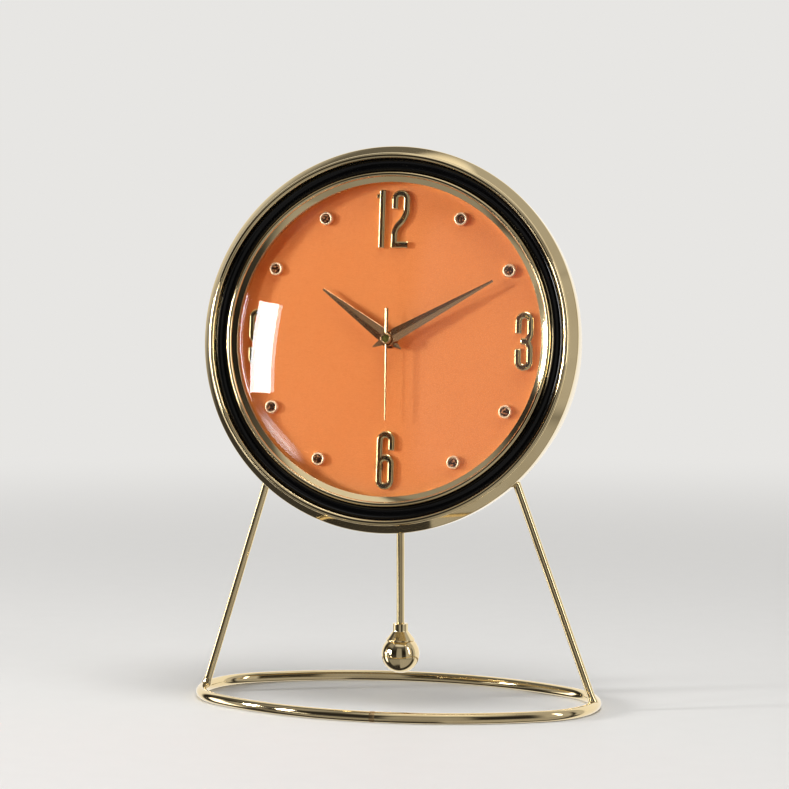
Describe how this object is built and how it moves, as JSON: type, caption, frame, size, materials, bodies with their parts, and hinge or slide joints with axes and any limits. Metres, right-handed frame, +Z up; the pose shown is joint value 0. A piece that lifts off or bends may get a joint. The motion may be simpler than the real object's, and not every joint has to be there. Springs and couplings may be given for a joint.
{
  "type": "desk pendulum clock",
  "caption": "Round desk clock with a leather dial under domed glass, held by slanted bars over an oval hoop base, with working hands, a gear train and a swinging ball pendulum.",
  "frame": {"origin": "on the table, at the middle of the oval hoop", "axes": "+Z up, the dial faces -Y, +X to the right as seen from the front"},
  "size_m": [0.25, 0.142, 0.3336],
  "materials": {
    "gold": "polished",
    "bronze": "satin polished",
    "black_lacquer": "glossy lacquer",
    "clear_glass": "clear",
    "orange_leather": "fine grain",
    "fibre_board": "matte",
    "smoky_stone": "faceted",
    "black_plastic": "matte",
    "steel": "bright",
    "soft_rubber": "matte",
    "white_plastic": "matte",
    "copper": "enamelled wire",
    "circuit": "solder mask",
    "battery_label": "gloss label"
  },
  "bodies": {
    "case": {"base_ring": "gold", "leg_left": "gold", "leg_right": "gold", "outer_rim": "gold", "inner_bezel": "gold", "dial_spacer": "gold", "numeral_12": "gold", "numeral_3": "gold", "numeral_6": "gold", "numeral_9": "gold", "stud_cups": "gold", "case_drum": "gold", "dial_nut": "gold", "dial_washer": "gold", "channel_ring": "black_lacquer", "lens_glass": "clear_glass", "dial_leather": "orange_leather", "dial_board": "fibre_board", "stud_crystals": "smoky_stone", "back_cover": "black_plastic", "movement_shell": "black_plastic", "movement_cover": "black_plastic", "cover_screws": "steel", "pivot_pin": "steel", "stator": "steel", "battery_contacts": "steel", "cushion_washer": "soft_rubber", "middle_plate": "white_plastic", "motor_coil": "copper", "drive_coil": "copper", "circuit_board": "circuit", "battery": "battery_label"},
    "minute_work": {"minute_hand": "bronze", "minute_arbor": "gold"},
    "hour_work": {"hour_hand": "bronze", "hour_wheel": "white_plastic"},
    "minute_wheel_body": {"minute_wheel": "white_plastic"},
    "set_knob_body": {"set_knob": "black_plastic"},
    "second_work": {"second_hand": "gold", "second_arbor": "white_plastic"},
    "third_wheel_body": {"third_wheel": "white_plastic"},
    "centre_wheel_body": {"centre_wheel": "white_plastic"},
    "fifth_wheel_body": {"fifth_wheel": "white_plastic"},
    "rotor_body": {"rotor": "steel"},
    "pendulum": {"pendulum_lever": "black_plastic", "lever_magnet": "steel", "pendulum_rod": "gold", "bob_cap": "gold", "bob_ball": "gold"}
  },
  "joints": [
    {"name": "minute_spin", "type": "hinge", "parent": "case", "child": "minute_work", "pos_m": [0, -0.00457, 0.2179], "axis": [0, -0.9925, 0.1219], "continuous": true},
    {"name": "hour_spin", "type": "hinge", "parent": "case", "child": "hour_work", "pos_m": [0, -0.00457, 0.2179], "axis": [0, -0.9925, 0.1219], "continuous": true},
    {"name": "minute_wheel_spin", "type": "hinge", "parent": "case", "child": "minute_wheel_body", "pos_m": [0.00902, -0.00417, 0.22116], "axis": [0, -0.9925, 0.1219], "continuous": true},
    {"name": "set_knob_spin", "type": "hinge", "parent": "case", "child": "set_knob_body", "pos_m": [0.01785, 0.00613, 0.21476], "axis": [0, -0.9925, 0.1219], "continuous": true},
    {"name": "second_spin", "type": "hinge", "parent": "case", "child": "second_work", "pos_m": [0, 0.00139, 0.21717], "axis": [0, -0.9925, 0.1219], "continuous": true},
    {"name": "third_wheel_spin", "type": "hinge", "parent": "case", "child": "third_wheel_body", "pos_m": [-0.00764, -0.00066, 0.22512], "axis": [0, -0.9925, 0.1219], "continuous": true},
    {"name": "centre_wheel_spin", "type": "hinge", "parent": "case", "child": "centre_wheel_body", "pos_m": [0, -0.00159, 0.21754], "axis": [0, -0.9925, 0.1219], "continuous": true},
    {"name": "fifth_wheel_spin", "type": "hinge", "parent": "case", "child": "fifth_wheel_body", "pos_m": [0.00594, 0.0031, 0.22295], "axis": [0, -0.9925, 0.1219], "continuous": true},
    {"name": "rotor_spin", "type": "hinge", "parent": "case", "child": "rotor_body", "pos_m": [0.01271, 0.0034, 0.22539], "axis": [0, -0.9925, 0.1219], "continuous": true},
    {"name": "pendulum_swing", "type": "hinge", "parent": "case", "child": "pendulum", "pos_m": [0, 0.00867, 0.17799], "axis": [0, -0.9925, 0.1219], "range_deg": [-5, 5]}
  ],
  "couplings": [
    {"joint": "hour_spin", "follows": "minute_spin", "ratio": 0.083333},
    {"joint": "minute_wheel_spin", "follows": "minute_spin", "ratio": -0.33333},
    {"joint": "set_knob_spin", "follows": "minute_spin", "ratio": 0.8},
    {"joint": "third_wheel_spin", "follows": "second_spin", "ratio": -0.13333},
    {"joint": "centre_wheel_spin", "follows": "second_spin", "ratio": 0.016667},
    {"joint": "fifth_wheel_spin", "follows": "second_spin", "ratio": -6},
    {"joint": "rotor_spin", "follows": "second_spin", "ratio": 30}
  ]
}
